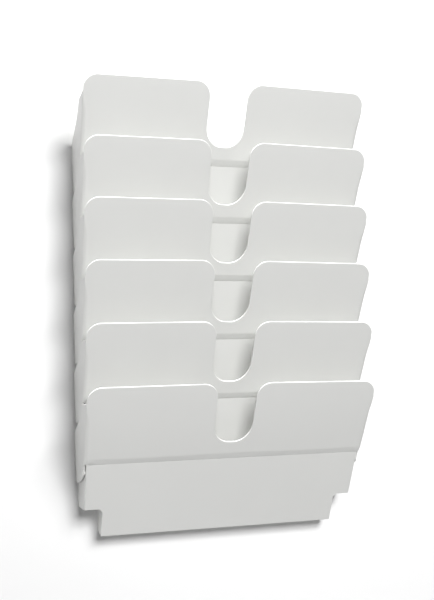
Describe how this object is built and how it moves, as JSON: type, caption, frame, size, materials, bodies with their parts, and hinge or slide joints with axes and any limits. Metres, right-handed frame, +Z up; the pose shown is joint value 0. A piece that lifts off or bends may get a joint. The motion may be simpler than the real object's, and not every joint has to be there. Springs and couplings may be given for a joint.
{
  "type": "wall file sorter",
  "caption": "White wall-hung file sorter: leaning landscape trays plugged one under another, each with two rounded tabs and a finger notch between them.",
  "frame": {"origin": "middle of the top tray's wall pad, on the face that bears on the wall", "axes": "+Z up, +Y into the wall, -Y towards the user, +X to the right as seen by the user"},
  "size_m": [0.349, 0.1518, 0.5317],
  "materials": {
    "white_plastic": "satin moulded polystyrene",
    "zinc_steel": "zinc plated",
    "grey_nylon": "moulded nylon"
  },
  "bodies": {
    "root": {"tray_1": "white_plastic", "screw_left": "zinc_steel", "screw_right": "zinc_steel", "wall_plug_left": "grey_nylon", "wall_plug_right": "grey_nylon"},
    "lower_tray_2": {"tray_2": "white_plastic"},
    "lower_tray_3": {"tray_3": "white_plastic"},
    "lower_tray_4": {"tray_4": "white_plastic"},
    "lower_tray_5": {"tray_5": "white_plastic"},
    "lower_tray_6": {"tray_6": "white_plastic"}
  },
  "joints": [
    {"name": "tray_2_slide", "type": "slide", "parent": "root", "child": "lower_tray_2", "axis": [0, 0, -1], "range_m": [0, 0.03]},
    {"name": "tray_3_slide", "type": "slide", "parent": "lower_tray_2", "child": "lower_tray_3", "axis": [0, 0, -1], "range_m": [0, 0.03]},
    {"name": "tray_4_slide", "type": "slide", "parent": "lower_tray_3", "child": "lower_tray_4", "axis": [0, 0, -1], "range_m": [0, 0.03]},
    {"name": "tray_5_slide", "type": "slide", "parent": "lower_tray_4", "child": "lower_tray_5", "axis": [0, 0, -1], "range_m": [0, 0.03]},
    {"name": "tray_6_slide", "type": "slide", "parent": "lower_tray_5", "child": "lower_tray_6", "axis": [0, 0, -1], "range_m": [0, 0.03]}
  ]
}
